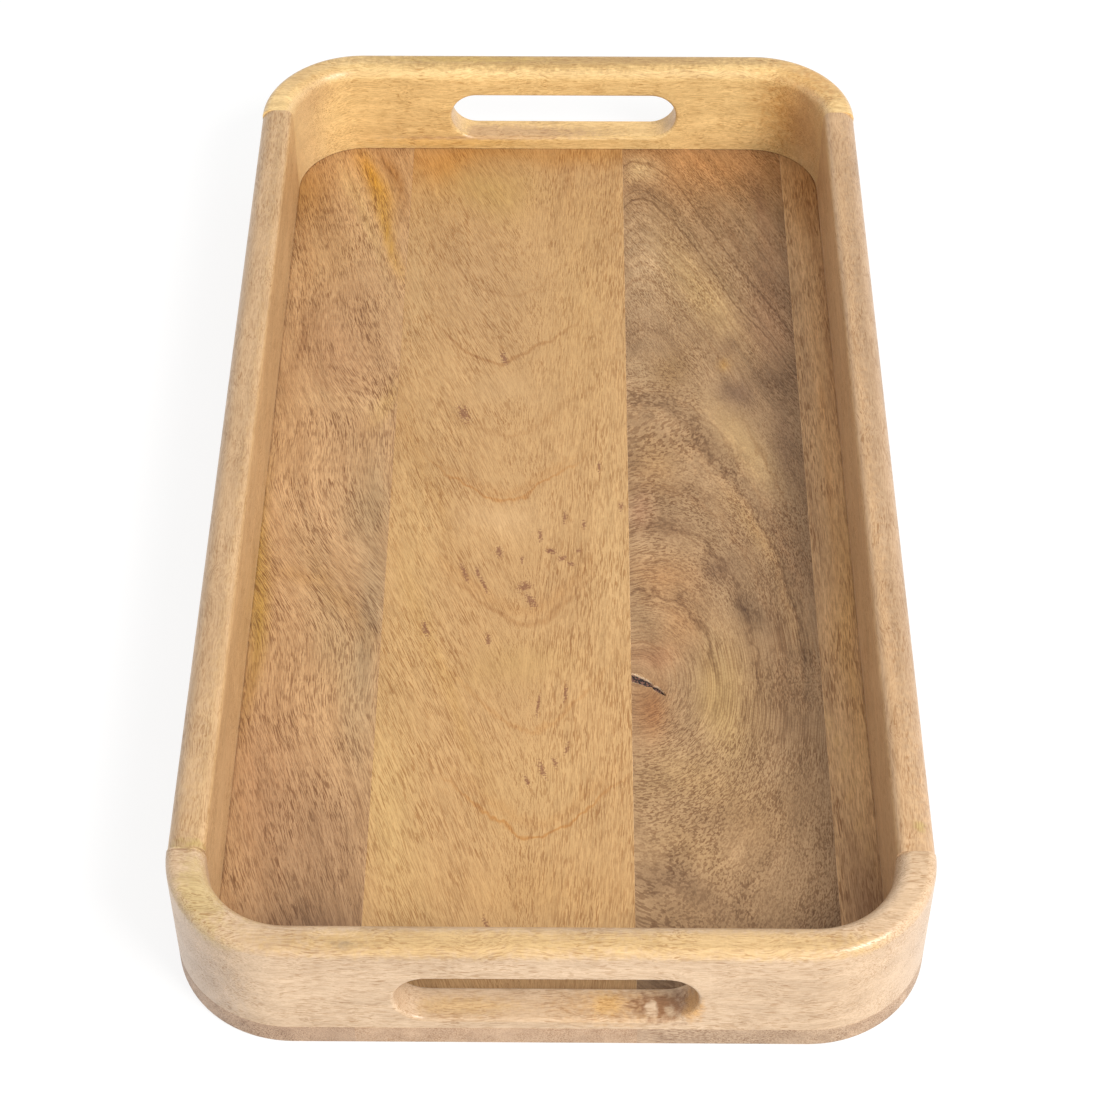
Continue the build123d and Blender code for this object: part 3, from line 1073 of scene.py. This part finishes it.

# stains, knots, painted shade and a painted reflection in the rails: centre, radii, colour, strength, and
# where it begins and ends to fade
olive, gold, amber, bark = (0.40, 0.29, 0.09), (0.57, 0.375, 0.155), (0.50, 0.27, 0.08), (0.25, 0.12, 0.05)
jointStain = [
    ((-121.5, -197.0, 51), (9, 3.2, 9), olive, 0.6, (0.4, 1.0)),
    ((-121.5, -199.6, 51), (9, 0.7, 8), bark, 0.6, (0.3, 1.0)),
]
railStainsAndShade = {
    "front": [
        *jointStain,
        ((-114, -216, 51), (13, 22, 8), (0.50, 0.36, 0.16), 0.85, (0.3, 1.0)),
        ((-104, -230, 48), (20, 10, 5), (0.52, 0.36, 0.14), 0.7, (0.2, 1.0)),
        ((-30, -236, 51), (90, 8, 5), gold, 0.75, (0.3, 1.0)),
        ((60, -236, 51), (80, 8, 5), gold, 0.7, (0.3, 1.0)),
        ((-66, -237, 51), (8, 2.2, 2.0), (0.28, 0.2, 0.12), 0.7, (0.2, 1.0)),
        ((-60, -238, 48.5), (6, 2.0, 1.6), (0.36, 0.25, 0.14), 0.5, (0.2, 1.0)),
        # painted shade with a grey painted reflection on the front rail's outer left corner
        ((-116, -226, 22), (26, 26, 32), (0.43, 0.32, 0.24), 0.6, (0.2, 1.0)),
        ((20, -234, 12), (34, 10, 4), amber, 0.6, (0.2, 1.0)),
        ((-30, -235, 13), (30, 6, 3), (0.56, 0.36, 0.15), 0.6, (0.3, 1.0)),
        ((37, -235, 17), (14.5, 8, 10.5), bark, 0.95, (0.4, 1.0)),
        ((19, -234, 13.5), (8, 7, 4), (0.57, 0.335, 0.11), 0.7, (0.2, 1.0)),
        ((33.6, -235.6, 14.5), (3.0, 4.2, 3.6), (0.62, 0.46, 0.31), 0.9, (0.45, 1.0)),
        ((39.6, -236.6, 15.5), (2.6, 3.0, 3.8), (0.50, 0.36, 0.23), 0.85, (0.4, 1.0)),
        ((47, -238, 21), (5, 9, 10), (0.56, 0.30, 0.09), 0.8, (0.3, 1.0)),
    ],
    "rear": [
        # painted shade in the rear rail's inner right-hand corner
        ((112, 222, 34), (36, 34, 40), (0.54, 0.262, 0.065), 0.8, (0.1, 1.0)),
        ((-112, 222, 46), (26, 26, 16), (0.62, 0.39, 0.17), 0.6, (0.1, 1.0)),
        ((0, 236, 51), (130, 9, 6), (0.45, 0.28, 0.107), 0.88, (0.4, 1.0)),
        ((-40, 236, 51), (60, 4, 3), (0.56, 0.38, 0.09), 0.5, (0.2, 1.0)),
        ((-50, 228, 12), (50, 4, 4), (0.64, 0.38, 0.11), 0.6, (0.2, 1.0)),
        ((-30, 230, 15.0), (60, 9, 1.6), (0.50, 0.31, 0.18), 0.6, (0.4, 1.0)),
    ],
    "left": [*jointStain, ((-124, 0, 50), (9, 280, 8), (0.50, 0.325, 0.180), 0.8, (0.5, 1.0))],
    "right": [
        ((125, 0, 50), (8, 280, 8), (0.41, 0.268, 0.155), 0.85, (0.4, 1.0)),
        ((123, -188, 51), (3, 3.4, 4), olive, 0.6, (0.3, 1.0)),
    ],
}


def railMaterial(name, finish, stainsAndShade=()):
    def surface(tree, here):
        wave = swing(tree, noise(tree, here, (30, 30, 30), 2.0, finish["seed"] + 2), 9.0)
        x, y, z = separate(tree, here)
        if finish["grainAxis"][0]:
            across, along, through = z, x, y
        else:
            across, along, through = x, y, z
        grain = combine(tree, calc(tree, "ADD", across, wave), along, calc(tree, "ADD", through, wave))
        colour = combine(tree, *finish["colour"])
        # stains and painted shade go into the colour under the grain
        for centre, radii, markColour, strength, edge in stainsAndShade:
            colour = spot(centre, radii, markColour, strength, edge=edge)(tree, here, colour)
        return {"grain": grain, "colour": colour}

    return woodMaterial(name, {**railDefaults, **finish}, surface)


addCamera()
addStudio()
print("camera and studio")

for node, board in boards.items():
    name = node.replace("base_", "") + "_wood"
    makePiece(name, boardMesh(node, board), node, boardMaterial(node, board))
print("base boards")

sweptRail = railTree()
midX = tray["halfWidth"] - tray["wall"] / 2
midY = tray["halfLength"] - tray["wall"] / 2
past = tray["jointY"] - railEdge["pastJoint"]  # the tree squares the ends off at the joints
for name, end in (("front", -1), ("rear", 1)):
    path = [(-end * midX * s, end * y) for s, y in ((1, past), (1, midY), (-1, midY), (-1, past))]
    material = railMaterial("railWood_" + name, railFinish[name], railStainsAndShade[name])
    slot = {**handSlots[name], "Slot Face": end * midY}
    mesh = railMesh("end_rail_%s_wood" % name, sweptRail, path, material, slot)
    makePiece(mesh.name, mesh, "end_rail_" + name, material)
for name, side in (("left", -1), ("right", 1)):
    path = [(side * midX, -side * tray["jointY"]), (side * midX, side * tray["jointY"])]
    material = railMaterial("railWood_" + name, railFinish[name], railStainsAndShade[name])
    mesh = railMesh("side_rail_%s_wood" % name, sweptRail, path, material)
    makePiece(mesh.name, mesh, "side_rail_" + name, material)
print("rails")

dowelWood = railMaterial("dowelWood", {"seed": 67.0, "colour": (0.55, 0.38, 0.22), "grainAxis": (0, 1, 0)})
for name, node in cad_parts.items():
    if name.startswith("dowel_"):
        for place in node.material_slots:
            place.material = dowelWood
print("dowels")
